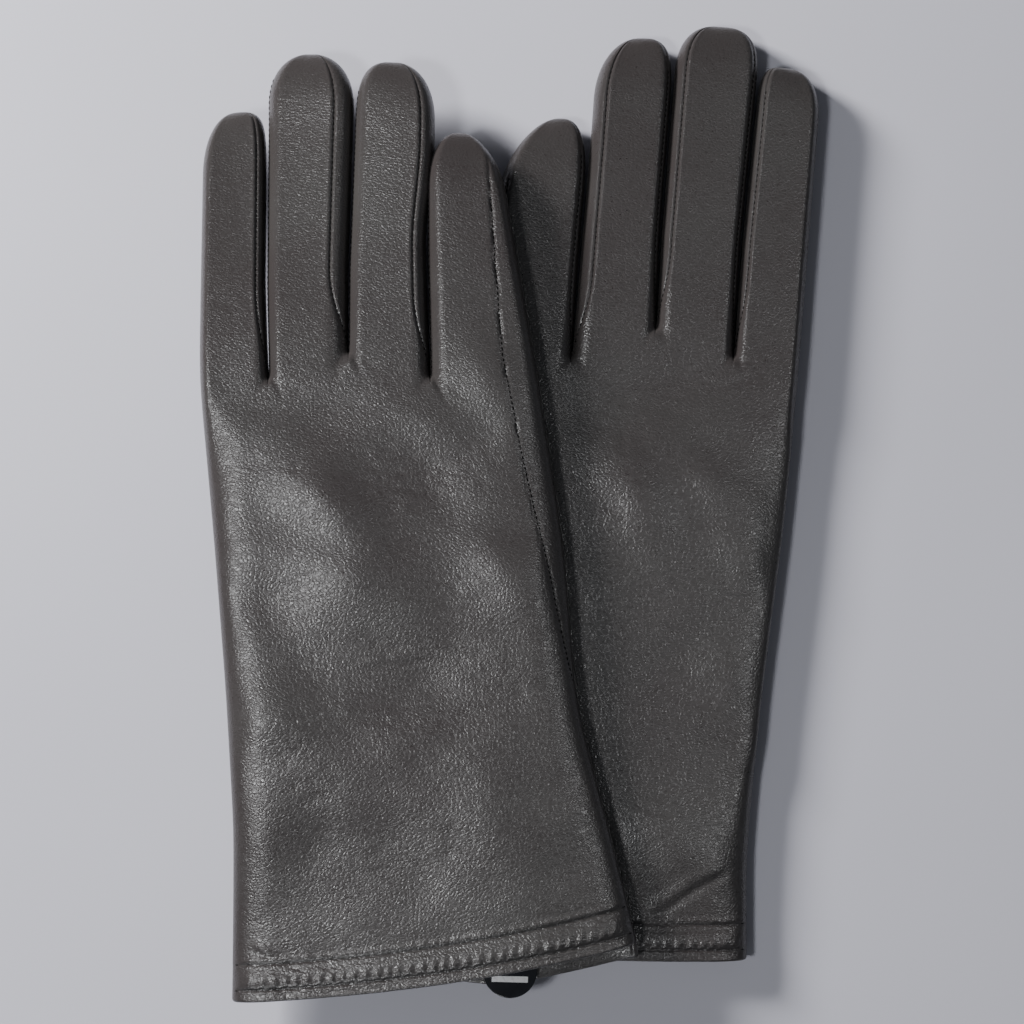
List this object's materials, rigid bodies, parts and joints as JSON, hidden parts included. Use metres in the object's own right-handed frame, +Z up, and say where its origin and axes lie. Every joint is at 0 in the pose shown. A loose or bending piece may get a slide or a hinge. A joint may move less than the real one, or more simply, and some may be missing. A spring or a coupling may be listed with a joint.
{
  "type": "leather gloves",
  "caption": "Pair of lined leather dress gloves lying flat and overlapped, thumbs folded under, with sewn fourchettes and a turned hem.",
  "frame": {"origin": "middle of the pair's plan box, on the surface the gloves lie on", "axes": "+X to the right across both gloves, +Y towards the fingertips, +Z up from the table"},
  "size_m": [0.1652, 0.2604, 0.0193],
  "materials": {
    "leather": "smooth charcoal nappa with a soft sheen",
    "lining": "fine dark knit",
    "thread": "waxed dark sewing thread",
    "tab": "glossy black coated tab",
    "bar": "plain bright print"
  },
  "bodies": {
    "left_hand": {"left_trank": "leather", "left_hand_lining": "lining", "left_hem_facing": "leather", "left_hem_stitching": "thread", "left_side_seam": "thread", "left_little_finger": "leather", "left_little_fourchette_ring_side": "leather", "left_little_lining": "lining", "left_little_stitching": "thread"},
    "left_thumb": {"left_thumb": "leather", "left_thumb_lining": "lining"},
    "left_ring": {"left_ring_finger": "leather", "left_ring_fourchette_little_side": "leather", "left_ring_fourchette_middle_side": "leather", "left_ring_lining": "lining", "left_ring_stitching": "thread"},
    "left_middle": {"left_middle_finger": "leather", "left_middle_fourchette_ring_side": "leather", "left_middle_fourchette_index_side": "leather", "left_middle_lining": "lining", "left_middle_stitching": "thread"},
    "left_index": {"left_index_finger": "leather", "left_index_fourchette_middle_side": "leather", "left_index_lining": "lining", "left_index_stitching": "thread"},
    "right_hand": {"right_trank": "leather", "right_hand_lining": "lining", "right_hem_facing": "leather", "right_hem_stitching": "thread", "right_side_seam": "thread"},
    "right_thumb": {"right_thumb": "leather", "right_thumb_lining": "lining"},
    "right_index": {"right_index_finger": "leather", "right_index_fourchette_middle_side": "leather", "right_index_lining": "lining", "right_index_stitching": "thread"},
    "right_middle": {"right_middle_finger": "leather", "right_middle_fourchette_index_side": "leather", "right_middle_fourchette_ring_side": "leather", "right_middle_lining": "lining", "right_middle_stitching": "thread"},
    "right_ring": {"right_ring_finger": "leather", "right_ring_fourchette_middle_side": "leather", "right_ring_fourchette_little_side": "leather", "right_ring_lining": "lining", "right_ring_stitching": "thread"},
    "right_little": {"right_little_finger": "leather", "right_little_fourchette_ring_side": "leather", "right_little_lining": "lining", "right_little_stitching": "thread"},
    "right_tab": {"right_tab": "tab", "right_tab_bar": "bar"}
  },
  "joints": [
    {"name": "right_glove_lift", "type": "slide", "parent": "left_hand", "child": "right_hand", "axis": [0, 0, 1], "range_m": [0, 0.06]},
    {"name": "left_ring_lift", "type": "hinge", "parent": "left_hand", "child": "left_ring", "pos_m": [0.02545, 0.03957, 0.0094], "axis": [0.9965, -0.0837, 0], "range_deg": [0, 75]},
    {"name": "left_middle_lift", "type": "hinge", "parent": "left_hand", "child": "left_middle", "pos_m": [0.04697, 0.03777, 0.0094], "axis": [0.9965, -0.0837, 0], "range_deg": [0, 75]},
    {"name": "left_index_lift", "type": "hinge", "parent": "left_hand", "child": "left_index", "pos_m": [0.06725, 0.03606, 0.0094], "axis": [0.9965, -0.0837, 0], "range_deg": [0, 75]},
    {"name": "right_index_lift", "type": "hinge", "parent": "right_hand", "child": "right_index", "pos_m": [-0.07403, 0.03492, 0.0191], "axis": [0.9997, -0.0244, 0], "range_deg": [0, 75]},
    {"name": "right_middle_lift", "type": "hinge", "parent": "right_hand", "child": "right_middle", "pos_m": [-0.05513, 0.03446, 0.0191], "axis": [0.9997, -0.0244, 0], "range_deg": [0, 75]},
    {"name": "right_ring_lift", "type": "hinge", "parent": "right_hand", "child": "right_ring", "pos_m": [-0.03364, 0.03394, 0.0191], "axis": [0.9997, -0.0244, 0], "range_deg": [0, 75]},
    {"name": "right_little_lift", "type": "hinge", "parent": "right_hand", "child": "right_little", "pos_m": [-0.0071, 0.03329, 0.0191], "axis": [0.9997, -0.0244, 0], "range_deg": [0, 75]},
    {"name": "left_thumb_swing", "type": "hinge", "parent": "left_hand", "child": "left_thumb", "pos_m": [0.0518, -0.04457, 0.0025], "axis": [0, 0, -1], "range_deg": [0, 55]},
    {"name": "right_thumb_swing", "type": "hinge", "parent": "right_hand", "child": "right_thumb", "pos_m": [-0.05981, -0.0466, 0.005], "axis": [0, 0, 1], "range_deg": [0, 55]},
    {"name": "right_tab_lift", "type": "hinge", "parent": "right_hand", "child": "right_tab", "pos_m": [-0.00027, -0.11087, 0.0122], "axis": [-0.9997, 0.0244, 0], "range_deg": [0, 18]}
  ]
}
